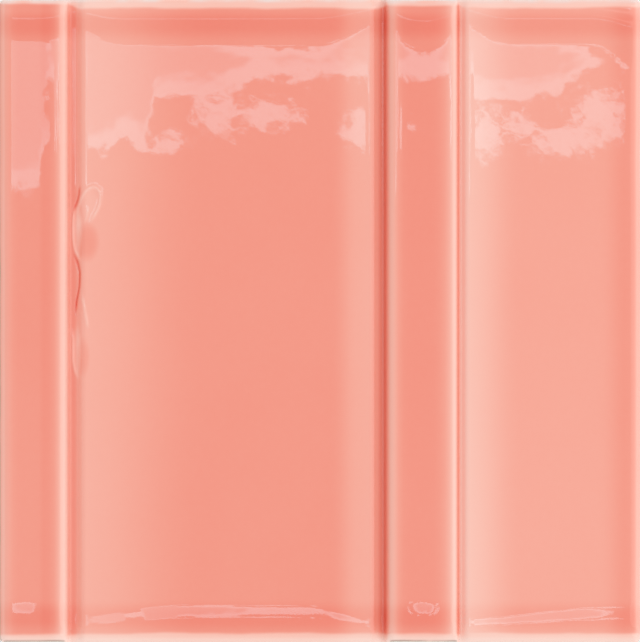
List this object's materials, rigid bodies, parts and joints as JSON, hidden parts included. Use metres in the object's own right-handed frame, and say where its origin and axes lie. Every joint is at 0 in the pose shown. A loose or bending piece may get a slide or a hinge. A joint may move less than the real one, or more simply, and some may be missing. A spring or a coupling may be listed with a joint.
{
  "type": "relief wall tile",
  "caption": "Square glazed ceramic wall tile whose face is pressed into raised round-edged ribs and sunken dished panels, with a coral-pink gloss face and a keyed back.",
  "frame": {"origin": "centre of the back, on the plane the tile is bedded on", "axes": "+Z out of the glazed face, +Y along the ribs towards the head edge, +X across the ribs from the outer rib towards the narrow panel"},
  "size_m": [0.125, 0.1254, 0.011],
  "materials": {
    "coral_glaze": "gloss coral-pink translucent glaze, paler where it is thin over the arrises"
  },
  "bodies": {
    "root": {"relief_tile": "coral_glaze"}
  },
  "joints": []
}
